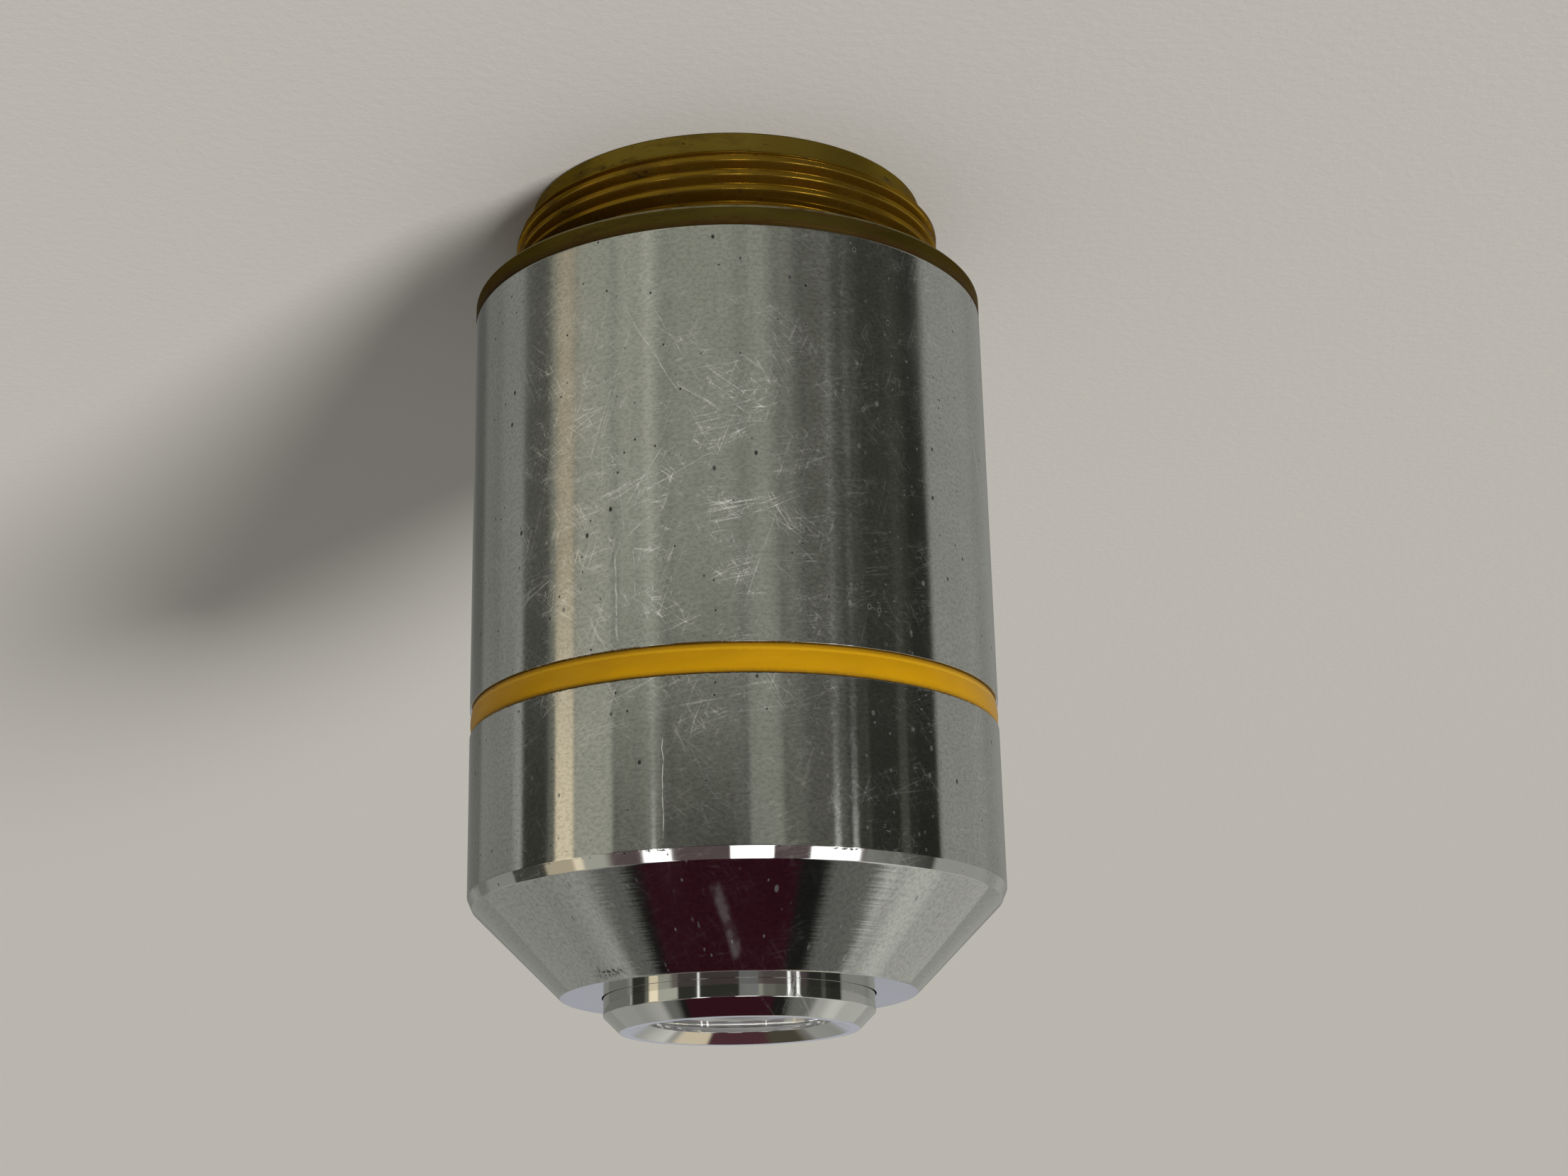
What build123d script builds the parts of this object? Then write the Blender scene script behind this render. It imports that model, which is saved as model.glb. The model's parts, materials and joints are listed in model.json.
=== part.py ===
from build123d import *
import os
from math import copysign, sqrt

# Low-power microscope objective: a screw-in brass mount, a plated outer sleeve with a colour band and a bevelled cone,
# and a lens train of cells and spacers that is stacked in an inner tube behind the nose.
# The origin is the centre of the rear face of the thread end, and +Z runs along the optical axis to the nose.
# All sizes are in millimetres.

# Outside: barrel, cone and nose
barrel_d = 24.0
shoulder_to_front = 34.15
nose_height = 1.5
nose_d = 12.0
nose_chamfer = 0.72
cone_height = 4.4
cone_front_d = 16.2
cone_rim = 0.22
chamfer_height = 0.5
chamfer_inset = 0.22
barrel_wall = 1.15
barrel_rear_bevel = 0.1
cone_wall = 1.6
front_wall = 1.4

# Colour band in its groove
band_from_rear = 18.82
band_width = 1.31
groove_depth = 0.4
enamel_thickness = 0.27
enamel_dip = 0.12

# Mount: thread end, shoulder and the skirt inside the sleeve
thread_d = 20.27
thread_end_length = 4.85
land_depth = 0.73
land_length = 0.95
land_bevel = 0.1
thread_lead = 0.45
relief_depth = 0.7
relief_length = 1.6
relief_run_out = 0.2
shoulder_thickness = 0.95
shoulder_bevel = 0.12
seat_undercut = 0.1
seat_thread_gap = 0.25
mount_wall = 1.5
skirt_wall = 0.9
tube_step_height = 0.4
ledge_height = 3.2

# Lens tube with its collar, shim and lock ring
collar_width = 0.95
collar_thickness = 1.2
shim_thickness = 0.2
lock_ring_length = 2.2
lock_ring_recess = 0.4
tube_wall = 1.3
tube_lip = 1.2
tube_front_gap = 0.2
tube_front_chamfer = 0.4
tube_rear_gap = 0.4

# Front cell and its lens
front_flange = 1.6
front_cell_wall = 1.25
front_lip_width = 0.65
front_lip_thickness = 0.7
dish_depth = 0.45
front_land_width = 0.42
front_lens_edge = 2.6
front_lens_rim = 0.45
front_lens_front_curve = -30.0
front_lens_rear_curve = 7.0
front_ring_length = 1.2

# Cells with cemented pairs, counted from the nose
second_cell_wall = 1.9
third_cell_wall = 1.6
rear_cell_wall = 1.4
seat_lip_width = 0.5
seat_lip_thickness = 0.6
crown_edge = 0.8
flint_edge = 1.8
second_front_curve = 16.0
second_cement_curve = 14.0
second_rear_curve = 40.0
third_front_curve = 20.0
third_cement_curve = 16.0
third_rear_curve = 60.0
rear_front_curve = 24.0
rear_cement_curve = 18.0
rear_rear_curve = 80.0
lens_ring_wall = 0.5
lens_ring_length = 0.8
lens_ring_recess = 0.1

# What separates and closes the train
front_spacer_length = 1.6
rear_spacer_length = 1.2
spacer_wall = 1.0
stop_thickness = 0.4
stop_width = 3.05
train_ring_wall = 1.7
train_ring_length = 1.6
train_ring_recess = 0.4

# Spanner slots and centring screws
slot_width = 1.0
slot_depth = 0.4
screw_d = 1.6
screw_count = 3
screw_recess = 0.15
screw_slot_width = 0.3
screw_slot_depth = 0.4

# Clearances, all radial
sleeve_fit = 0.05
tube_fit = 0.05
nose_fit = 0.05
cell_fit = 0.05
lens_fit = 0.05
screw_fit = 0.03
centring_play = 0.1

# Heights along the axis, from the thread to the nose
shoulder_z = thread_end_length
sleeve_z = shoulder_z + shoulder_thickness
front_z = shoulder_z + shoulder_to_front
annulus_z = front_z - nose_height
chamfer_z = annulus_z - cone_height
cone_start_z = chamfer_z + chamfer_height
cone_end_z = annulus_z - cone_rim
band_z = sleeve_z + band_from_rear
ledge_z = sleeve_z + ledge_height
collar_z = ledge_z + shim_thickness
lock_ring_z = collar_z + collar_thickness
skirt_top_z = lock_ring_z + lock_ring_length + lock_ring_recess
tube_step_z = sleeve_z + tube_step_height
tube_rear_z = tube_step_z + tube_rear_gap

# Radii from the barrel inwards
barrel_r = barrel_d / 2
nose_r = nose_d / 2
cone_front_r = cone_front_d / 2
thread_r = thread_d / 2
relief_r = thread_r - relief_depth
rear_land_r = thread_r - land_depth
seat_inner_r = thread_r + seat_thread_gap
rear_bore_r = relief_r - mount_wall
sleeve_bore_r = barrel_r - barrel_wall
skirt_r = sleeve_bore_r - sleeve_fit
gland_r = skirt_r - skirt_wall
collar_r = gland_r - tube_fit
tube_r = collar_r - collar_width
tube_bore_r = tube_r - tube_wall
cell_r = tube_bore_r - cell_fit
nose_hole_r = nose_r + nose_fit

# The cone is a straight taper, and its inside runs parallel to its outside
cone_start_r = barrel_r - chamfer_inset
cone_slope = (cone_start_r - cone_front_r) / (cone_end_z - cone_start_z)
inner_cone_z = cone_start_z + (cone_start_r - cone_wall - sleeve_bore_r) / cone_slope
front_wall_z = annulus_z - front_wall
front_wall_r = sleeve_bore_r - cone_slope * (front_wall_z - inner_cone_z)
tube_front_z = inner_cone_z + (sleeve_bore_r - tube_r - tube_front_gap) / cone_slope

# The train is clamped between the lip of the tube and its slotted ring, and the middle spacer takes up what is left
cell_length = seat_lip_thickness + crown_edge + flint_edge + lens_ring_length + lens_ring_recess
lip_z = tube_front_z - tube_lip
front_spacer_z = lip_z - front_flange - front_spacer_length
second_cell_z = front_spacer_z - cell_length
train_ring_z = tube_rear_z + train_ring_recess
rear_cell_z = train_ring_z + train_ring_length
rear_spacer_z = rear_cell_z + cell_length
stop_z = rear_spacer_z + rear_spacer_length
third_cell_z = stop_z + stop_thickness
middle_spacer_z = third_cell_z + cell_length
middle_spacer_length = second_cell_z - middle_spacer_z


def sag(curve, height):
    """Depth of a spherical surface of radius curve at a height from the axis, with the sign of curve."""
    return copysign(abs(curve) - sqrt(curve**2 - height**2), curve)


def slotted_ring(inner_r, outer_r, rear_z, length, slots=False):
    """A plain ring, with a pair of spanner slots across its rear face where slots is true."""
    with BuildPart() as ring:
        with BuildSketch(Plane.XY.offset(rear_z)):
            Circle(outer_r)
            Circle(inner_r, mode=Mode.SUBTRACT)
        extrude(amount=length)
        if slots:
            with BuildSketch(Plane.XY.offset(rear_z)):
                Rectangle(2 * barrel_r, slot_width)
            extrude(amount=slot_depth, mode=Mode.SUBTRACT)
    return ring


def lens_cell(outer_r, bore_r, rear_z):
    """A cup with a seat lip towards the nose, open to the rear for its lens and ring."""
    seat_z = rear_z + cell_length - seat_lip_thickness
    with BuildPart() as cell:
        with BuildSketch(Plane.XY.offset(rear_z)):
            Circle(outer_r)
        extrude(amount=cell_length)
        with BuildSketch(Plane.XY.offset(rear_z)):
            Circle(bore_r)
        extrude(amount=seat_z - rear_z, mode=Mode.SUBTRACT)
        with BuildSketch(Plane.XY.offset(seat_z)):
            Circle(bore_r - seat_lip_width)
        extrude(amount=seat_lip_thickness, mode=Mode.SUBTRACT)
    return cell


def lens(rim_r, front_z, front_curve, rear_z, rear_curve, front_rim=0.0, rear_rim=0.0):
    """One glass element between two rim heights. A curve is positive where the surface bulges out of the rim,
    and front_rim and rear_rim are the widths of the flat ground rings that it is seated on."""
    front_r = rim_r - front_rim
    rear_r = rim_r - rear_rim
    front_vertex_z = front_z + sag(front_curve, front_r)
    rear_vertex_z = rear_z - sag(rear_curve, rear_r)
    front_half_z = front_vertex_z - sag(front_curve, front_r / 2)
    rear_half_z = rear_vertex_z + sag(rear_curve, rear_r / 2)
    with BuildPart() as element:
        with BuildSketch(Plane.XZ):
            with BuildLine():
                ThreePointArc((0, front_vertex_z), (front_r / 2, front_half_z), (front_r, front_z))
                if front_rim:
                    Line((front_r, front_z), (rim_r, front_z))
                Line((rim_r, front_z), (rim_r, rear_z))
                if rear_rim:
                    Line((rim_r, rear_z), (rear_r, rear_z))
                ThreePointArc((rear_r, rear_z), (rear_r / 2, rear_half_z), (0, rear_vertex_z))
                Line((0, rear_vertex_z), (0, front_vertex_z))
            make_face()
        revolve(axis=Axis.Z)
    return element


# Mount body: thread end with its relief, shoulder flush with the barrel, and the skirt that holds the tube
with BuildPart() as mount_body:
    with BuildSketch(Plane.XZ):
        with BuildLine():
            Polyline(
                (0, 0),
                (rear_land_r - land_bevel, 0),
                (rear_land_r, land_bevel),
                (rear_land_r, land_length),
                (thread_r, land_length + thread_lead),
                (thread_r, shoulder_z - relief_length),
                (relief_r, shoulder_z - relief_length + relief_run_out),
                (relief_r, shoulder_z + seat_undercut),
                (0, shoulder_z + seat_undercut),
                close=True,
            )
        make_face()
    revolve(axis=Axis.Z)
    with BuildSketch(Plane.XZ):
        with BuildLine():
            Polyline(
                (0, shoulder_z),
                (barrel_r - shoulder_bevel, shoulder_z),
                (barrel_r, shoulder_z + shoulder_bevel),
                (barrel_r, sleeve_z - shoulder_bevel),
                (barrel_r - shoulder_bevel, sleeve_z),
                (0, sleeve_z),
                close=True,
            )
        make_face()
    revolve(axis=Axis.Z)
    with BuildSketch(Plane.XY.offset(shoulder_z)):
        Circle(seat_inner_r)
        Circle(relief_r, mode=Mode.SUBTRACT)
    extrude(amount=seat_undercut, mode=Mode.SUBTRACT)
    with BuildSketch(Plane.XY.offset(sleeve_z)):
        Circle(skirt_r)
    extrude(amount=skirt_top_z - sleeve_z)
    for bore_r, low_z, high_z in (
        (rear_bore_r, 0, tube_step_z),
        (tube_r + tube_fit, tube_step_z, ledge_z),
        (gland_r, ledge_z, skirt_top_z),
    ):
        with BuildSketch(Plane.XY.offset(low_z)):
            Circle(bore_r)
        extrude(amount=high_z - low_z, mode=Mode.SUBTRACT)

# Outer sleeve: barrel with the band groove, bevelled cone and flat front ring
with BuildPart() as outer_sleeve:
    with BuildSketch(Plane.XZ):
        with BuildLine():
            Polyline(
                (sleeve_bore_r, sleeve_z),
                (barrel_r - barrel_rear_bevel, sleeve_z),
                (barrel_r, sleeve_z + barrel_rear_bevel),
                (barrel_r, band_z),
                (barrel_r - groove_depth, band_z),
                (barrel_r - groove_depth, band_z + band_width),
                (barrel_r, band_z + band_width),
                (barrel_r, chamfer_z),
                (cone_start_r, cone_start_z),
                (cone_front_r, cone_end_z),
                (cone_front_r - cone_rim, annulus_z),
                (nose_hole_r, annulus_z),
                (nose_hole_r, front_wall_z),
                (front_wall_r, front_wall_z),
                (sleeve_bore_r, inner_cone_z),
                close=True,
            )
        make_face()
    revolve(axis=Axis.Z)

# Colour band: enamel laid in the groove, lowest at the middle of its width
enamel_r = barrel_r - groove_depth + enamel_thickness
with BuildPart() as colour_band:
    with BuildSketch(Plane.XZ):
        with BuildLine():
            Polyline(
                (enamel_r, band_z),
                (barrel_r - groove_depth, band_z),
                (barrel_r - groove_depth, band_z + band_width),
                (enamel_r, band_z + band_width),
            )
            ThreePointArc(
                (enamel_r, band_z + band_width),
                (enamel_r - enamel_dip, band_z + band_width / 2),
                (enamel_r, band_z),
            )
        make_face()
    revolve(axis=Axis.Z)

# Centring screws: grub screws through the tube wall, with their inner ends on the second cell
second_cell_r = cell_r - centring_play
screw_z = second_cell_z + cell_length / 2
screw_length = tube_r - screw_recess - second_cell_r
screw_angle = 360 / screw_count
with BuildPart() as centring_screws:
    for index in range(screw_count):
        radial = Vector(1, 0, 0).rotate(Axis.Z, index * screw_angle)
        inner_end = radial * second_cell_r + Vector(0, 0, screw_z)
        head = inner_end + radial * screw_length
        with BuildSketch(Plane(inner_end, x_dir=(0, 0, 1), z_dir=radial)):
            Circle(screw_d / 2)
        extrude(amount=screw_length)
        with BuildSketch(Plane(head, x_dir=(0, 0, 1), z_dir=radial)):
            Rectangle(screw_slot_width, 2 * screw_d)
        extrude(amount=-screw_slot_depth, mode=Mode.SUBTRACT)

# Lens tube: inner barrel with a clamping collar, a front lip and the holes for the centring screws
with BuildPart() as lens_tube:
    with BuildSketch(Plane.XZ):
        with BuildLine():
            Polyline(
                (tube_bore_r, tube_rear_z),
                (tube_r, tube_rear_z),
                (tube_r, collar_z),
                (collar_r, collar_z),
                (collar_r, lock_ring_z),
                (tube_r, lock_ring_z),
                (tube_r, tube_front_z - tube_front_chamfer),
                (tube_r - tube_front_chamfer, tube_front_z),
                (nose_hole_r, tube_front_z),
                (nose_hole_r, lip_z),
                (tube_bore_r, lip_z),
                close=True,
            )
        make_face()
    revolve(axis=Axis.Z)
    for index in range(screw_count):
        radial = Vector(1, 0, 0).rotate(Axis.Z, index * screw_angle)
        with BuildSketch(Plane(Vector(0, 0, screw_z), x_dir=(0, 0, 1), z_dir=radial)):
            Circle(screw_d / 2 + screw_fit)
        extrude(amount=barrel_r, mode=Mode.SUBTRACT)

# Shim under the collar and the slotted ring that clamps it
parfocal_shim = slotted_ring(tube_r + tube_fit, collar_r, ledge_z, shim_thickness)
with BuildPart() as parfocal_lock_ring:
    with BuildSketch(Plane.XY.offset(lock_ring_z)):
        Circle(collar_r)
        Circle(tube_r + tube_fit, mode=Mode.SUBTRACT)
    extrude(amount=lock_ring_length)
    with BuildSketch(Plane.XY.offset(lock_ring_z + lock_ring_length)):
        Rectangle(2 * barrel_r, slot_width)
    extrude(amount=-slot_depth, mode=Mode.SUBTRACT)

# Front cell: chamfered nose with a dished mouth, and a flange that seats behind the lip of the tube
lens_seat_z = front_z - front_lip_thickness
front_bore_r = nose_r - front_cell_wall
mouth_r = front_bore_r - front_lip_width
front_face_r = nose_r - nose_chamfer
with BuildPart() as front_cell:
    with BuildSketch(Plane.XZ):
        with BuildLine():
            Polyline(
                (front_bore_r, lip_z - front_flange),
                (cell_r, lip_z - front_flange),
                (cell_r, lip_z),
                (nose_r, lip_z),
                (nose_r, front_z - nose_chamfer),
                (front_face_r, front_z),
                (front_face_r - front_land_width, front_z),
                (mouth_r, front_z - dish_depth),
                (mouth_r, lens_seat_z),
                (front_bore_r, lens_seat_z),
                close=True,
            )
        make_face()
    revolve(axis=Axis.Z)

# Front lens: thick element, hollow towards the object, held by a slotted ring on its ground rim
front_lens_r = front_bore_r - lens_fit
front_ring_z = lens_seat_z - front_lens_edge - front_ring_length
front_lens = lens(
    front_lens_r,
    lens_seat_z,
    front_lens_front_curve,
    lens_seat_z - front_lens_edge,
    front_lens_rear_curve,
    front_rim=front_lip_width - lens_fit,
    rear_rim=front_lens_rim,
)
front_retaining_ring = slotted_ring(
    front_lens_r - front_lens_rim, front_lens_r, front_ring_z, front_ring_length, slots=True
)

# Three cells, each with a cemented pair: a crown bulging both ways, bedded in a flint, and a slotted ring
cell_pieces = {}
for name, outer_r, wall, rear_z, curves in (
    ("second", second_cell_r, second_cell_wall, second_cell_z,
     (second_front_curve, second_cement_curve, second_rear_curve)),
    ("third", cell_r, third_cell_wall, third_cell_z,
     (third_front_curve, third_cement_curve, third_rear_curve)),
    ("rear", cell_r, rear_cell_wall, rear_cell_z,
     (rear_front_curve, rear_cement_curve, rear_rear_curve)),
):
    bore_r = outer_r - wall
    rim_r = bore_r - lens_fit
    front_curve, cement_curve, rear_curve = curves
    seat_z = rear_z + cell_length - seat_lip_thickness
    cement_z = seat_z - crown_edge
    ring_top_z = cement_z - flint_edge
    cell_pieces[f"{name}_cell"] = lens_cell(outer_r, bore_r, rear_z)
    cell_pieces[f"{name}_crown"] = lens(
        rim_r, seat_z, front_curve, cement_z, cement_curve, front_rim=seat_lip_width - lens_fit
    )
    cell_pieces[f"{name}_flint"] = lens(
        rim_r, cement_z, -cement_curve, ring_top_z, rear_curve, rear_rim=lens_ring_wall
    )
    cell_pieces[f"{name}_retaining_ring"] = slotted_ring(
        rim_r - lens_ring_wall, rim_r, ring_top_z - lens_ring_length, lens_ring_length, slots=True
    )

# Spacers, the aperture stop and the slotted ring that closes the train
spacer_r = cell_r - spacer_wall
front_spacer = slotted_ring(spacer_r, cell_r, front_spacer_z, front_spacer_length)
middle_spacer = slotted_ring(spacer_r, cell_r, middle_spacer_z, middle_spacer_length)
rear_spacer = slotted_ring(spacer_r, cell_r, rear_spacer_z, rear_spacer_length)
aperture_stop = slotted_ring(cell_r - stop_width, cell_r, stop_z, stop_thickness)
train_retaining_ring = slotted_ring(
    cell_r - train_ring_wall, cell_r, train_ring_z, train_ring_length, slots=True
)

pieces = {
    "mount_body": mount_body,
    "outer_sleeve": outer_sleeve,
    "colour_band": colour_band,
    "lens_tube": lens_tube,
    "parfocal_shim": parfocal_shim,
    "parfocal_lock_ring": parfocal_lock_ring,
    "centring_screws": centring_screws,
    "front_cell": front_cell,
    "front_lens": front_lens,
    "front_retaining_ring": front_retaining_ring,
    "front_spacer": front_spacer,
    **cell_pieces,
    "middle_spacer": middle_spacer,
    "aperture_stop": aperture_stop,
    "rear_spacer": rear_spacer,
    "train_retaining_ring": train_retaining_ring,
}

os.makedirs("parts", exist_ok=True)
for name, piece in pieces.items():
    piece.part.label = name
    export_step(piece.part, f"parts/{name}.step")
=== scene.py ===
import json
import math

import bpy
from bpy.props import FloatProperty, FloatVectorProperty, IntProperty, PointerProperty
from bpy.types import Operator, Panel, PropertyGroup
from mathutils import Matrix, Vector


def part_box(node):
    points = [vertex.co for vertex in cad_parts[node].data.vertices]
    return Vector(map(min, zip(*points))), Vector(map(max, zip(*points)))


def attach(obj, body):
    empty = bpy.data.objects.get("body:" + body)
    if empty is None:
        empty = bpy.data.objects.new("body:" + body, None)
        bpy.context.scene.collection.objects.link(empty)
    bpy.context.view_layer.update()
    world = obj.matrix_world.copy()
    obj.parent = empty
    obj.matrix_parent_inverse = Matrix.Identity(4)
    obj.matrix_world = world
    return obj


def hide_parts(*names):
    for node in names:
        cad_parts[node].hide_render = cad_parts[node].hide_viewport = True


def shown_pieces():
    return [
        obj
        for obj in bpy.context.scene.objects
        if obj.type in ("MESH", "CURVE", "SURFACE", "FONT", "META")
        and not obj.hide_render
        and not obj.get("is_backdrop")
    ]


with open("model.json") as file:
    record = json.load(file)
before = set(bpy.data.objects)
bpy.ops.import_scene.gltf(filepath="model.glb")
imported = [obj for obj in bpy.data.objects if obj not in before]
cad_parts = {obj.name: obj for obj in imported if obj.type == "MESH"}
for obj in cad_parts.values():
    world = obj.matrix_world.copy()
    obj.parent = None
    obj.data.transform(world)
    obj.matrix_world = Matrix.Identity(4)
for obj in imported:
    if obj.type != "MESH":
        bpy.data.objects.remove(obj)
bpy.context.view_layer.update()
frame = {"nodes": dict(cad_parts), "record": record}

bl_info = {
    "name": "Microscope Objective",
    "version": (1, 0, 0),
    "blender": (4, 5, 0),
    "location": "3D View > Sidebar > Objective",
    "description": "Dresses a turned and plated microscope objective and sets its stage",
    "category": "Object",
}

# Lengths in the property groups are metres, and the patterns in the materials are laid out in millimetres
MM = 0.001
PER_MM = 1 / MM
SLOT_OF_NODE = {row["node"]: row["material_slot"] for row in frame["record"]["subparts"]}


def reach(node):
    """Outer radius, lowest and highest height of a turned CAD node, in metres."""
    low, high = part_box(node)
    return high.x, low.z, high.z


BARREL_R, SLEEVE_LOW, SLEEVE_HIGH = reach("outer_sleeve")
BAND_R, BAND_LOW, BAND_HIGH = reach("colour_band")
NOSE_FLANGE_R, NOSE_LOW, NOSE_HIGH = reach("front_cell")
_, MOUNT_LOW, MOUNT_HIGH = reach("mount_body")
SEAT_Z = next(m for m in frame["record"]["mounts"] if m["name"] == "seat_shoulder")["pos_m"][2]


# Properties


def length(name, description, millimetres):
    """A length property, given in millimetres and kept in metres."""
    return FloatProperty(
        name=name, description=description, default=millimetres * MM, min=0, precision=5, unit="LENGTH"
    )


def colour(name, description, *rgb):
    """A linear colour property."""
    return FloatVectorProperty(
        name=name, description=description, default=rgb, size=3, min=0, max=1, subtype="COLOR"
    )


def number(name, description, default):
    """A plain number property."""
    return FloatProperty(name=name, description=description, default=default)


class OBJECTIVE_PG_sizes(PropertyGroup):
    """Sizes of what is turned, cut and rounded on the outside."""

    segments: IntProperty(
        name="Segments", description="Steps round the axis of a turned piece", default=256, min=32
    )
    edge_round: length("Edge round", "Radius of a broken edge", 0.05)
    fine_round: length("Fine edge round", "Radius of a crisp edge", 0.025)
    barrel_wall: length("Barrel wall", "Wall of the sleeve", 1.15)
    chamfer_height: length("Chamfer height", "Height of the bright chamfer between barrel and cone", 0.5)
    chamfer_inset: length("Chamfer inset", "How far that chamfer draws in", 0.22)
    cone_height: length("Cone height", "From the chamfer's start to the front ring", 4.4)
    cone_front_r: length("Cone front radius", "Radius at the small end of the cone", 8.1)
    cone_rim: length("Cone rim", "Bevel at the small end of the cone", 0.22)
    cone_wall: length("Cone wall", "Wall of the cone", 1.6)
    front_wall: length("Front wall", "Thickness of the front ring", 1.4)
    groove_depth: length("Groove depth", "Depth of the groove for the colour band", 0.4)
    enamel_crown: length("Enamel crown", "How far the middle of the enamel stands over its edges", 0.1)
    nose_r: length("Nose radius", "Radius of the polished nose", 6.0)
    nose_fit: length("Nose clearance", "Radial gap round the nose", 0.05)
    nose_chamfer: length("Nose chamfer", "Chamfer at the tip of the nose", 0.72)
    nose_land: length("Nose land", "Flat ring at the tip of the nose", 0.42)
    nose_flange: length("Nose flange", "Thickness of the hidden flange", 1.6)
    nose_wall: length("Nose wall", "Wall round the front lens", 1.25)
    mouth_lip: length("Mouth lip", "Width of the lip that holds the front lens", 0.65)
    mouth_lip_height: length("Mouth lip height", "From the seat of the lens to the tip", 0.7)
    dish_depth: length("Dish depth", "Depth of the dished mouth", 0.45)
    land_length: length("Land length", "Plain land behind the thread", 0.95)
    land_depth: length("Land depth", "How far the land lies under the crests", 0.73)
    land_bevel: length("Land bevel", "Bevel of the rear edge", 0.1)
    thread_r: length("Thread radius", "Radius at the crests", 10.135)
    thread_lead: length("Thread lead-in", "Length of the lead-in taper", 0.45)
    thread_pitch: length("Thread pitch", "Rise of one turn", 0.7056)
    thread_depth: length("Thread depth", "From crest to root", 0.45)
    first_crest: length("First crest", "Height of the first full crest on the camera's side", 1.68)
    thread_step: length("Thread step", "Height of one row of faces on the thread", 0.025)
    relief_length: length("Relief length", "From the last crest to the shoulder", 1.6)
    relief_run_out: length("Relief run-out", "Taper at the end of the thread", 0.2)
    relief_depth: length("Relief depth", "How far the relief lies under the crests", 0.7)
    shoulder_bevel: length("Shoulder bevel", "Bevel of the shoulder ring", 0.12)
    seat_undercut: length("Seat undercut", "Depth of the recess in the seat", 0.1)
    seat_gap: length("Seat gap", "From the crests to the seat", 0.25)
    mount_wall: length("Mount wall", "Wall behind the relief", 1.5)
    skirt_wall: length("Skirt wall", "Wall of the skirt inside the sleeve", 0.9)
    sleeve_fit: length("Sleeve clearance", "Radial gap under the sleeve", 0.05)
    tube_step: length("Tube step", "From the sleeve's rear end to the step under the tube", 0.4)
    collar_width: length("Collar width", "Width of the ledge under the shim", 0.95)
    ledge_height: length("Ledge height", "From the sleeve's rear end to the ledge under the shim", 3.2)


class OBJECTIVE_PG_finish(PropertyGroup):
    """Colours of the finishes."""

    satin: colour("Satin chrome", "Plated barrel and cone", 0.60, 0.605, 0.595)
    polished: colour("Polished chrome", "Nose and chamfers", 0.68, 0.68, 0.675)
    scratch: colour("Scratch", "Pale torn metal in a scratch", 0.78, 0.78, 0.74)
    grime: colour("Grime", "Pits and dirt", 0.035, 0.03, 0.025)
    brass: colour("Brass", "Worn brass on the crests and inside", 0.52, 0.34, 0.075)
    thread: colour("Thread", "Orange brass on the flanks of the thread", 0.245, 0.13, 0.010)
    land: colour("Land", "Olive brass on the rear land", 0.195, 0.135, 0.021)
    shoulder: colour("Shoulder", "Dull tarnish on the shoulder", 0.10, 0.073, 0.014)
    # Rubbed brass on the shoulder's rear edge, which also serves as a painted highlight there
    worn_edge_and_highlight: colour("Worn edge", "Rubbed edge of the shoulder", 0.42, 0.39, 0.27)
    # This colour is also the painted shade on the shoulder next to the sleeve
    stain_and_shade: colour("Stain", "Dark stains on the brass", 0.045, 0.024, 0.007)
    enamel: colour("Enamel", "Colour band", 0.52, 0.265, 0.002)
    # This paler enamel colour is a painted highlight along the rear edge of the band
    enamel_highlight: colour("Enamel line", "Paler line along the rear edge of the band", 0.74, 0.42, 0.012)
    enamel_edge: colour("Enamel edge", "Worn dirty edges of the band", 0.10, 0.05, 0.01)
    blackened: colour("Blackened brass", "Inside of the lens train", 0.022, 0.021, 0.020)
    steel: colour("Steel", "Centring screws", 0.45, 0.45, 0.46)
    glass: colour("Glass", "Lenses", 0.97, 0.985, 0.975)
    paper: colour("Paper", "Pale floor", 0.53, 0.51, 0.47)


class OBJECTIVE_PG_stage(PropertyGroup):
    """Camera and light."""

    camera_place: FloatVectorProperty(
        name="Camera place",
        description="Where the camera stands",
        default=(0, -107.615 * MM, 52.203 * MM),
        size=3,
        precision=5,
        subtype="TRANSLATION",
    )
    camera_turn: FloatVectorProperty(
        name="Camera turn",
        description="Pitch, yaw and roll from a view along +Y with the nose at the picture's lower edge",
        default=(math.radians(-17.3259), math.radians(-1.2140), math.radians(-0.9596)),
        size=3,
        subtype="EULER",
    )
    camera_lens: number("Focal length", "In millimetres on a 36 mm wide sensor", 55.743)
    floor_size: length("Floor size", "Side of the floor", 6000)
    shadow_lamp: number("Shadow lamp", "Strength of the low sun on the floor", 5.6)
    front_lamp: number("Front lamp", "Strength of the soft sun on the object", 2.2)
    glint: number("Glint", "Strength of the small lamps on the mount", 0.25)
    ambient: number("Ambient", "Strength of the even light from all sides", 0.34)


# Turned shapes

# Steps of an arc that rounds a corner
ARC_STEPS = 5
# A rounded corner takes at most this share of each edge beside it
EDGE_SHARE = 0.4
# How far beside an arc the flat's own point lies, as a share of the cut
BESIDE_SHARE = 0.3
# A corner with a half angle over this counts as straight
STRAIGHT = math.radians(89.9)


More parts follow.
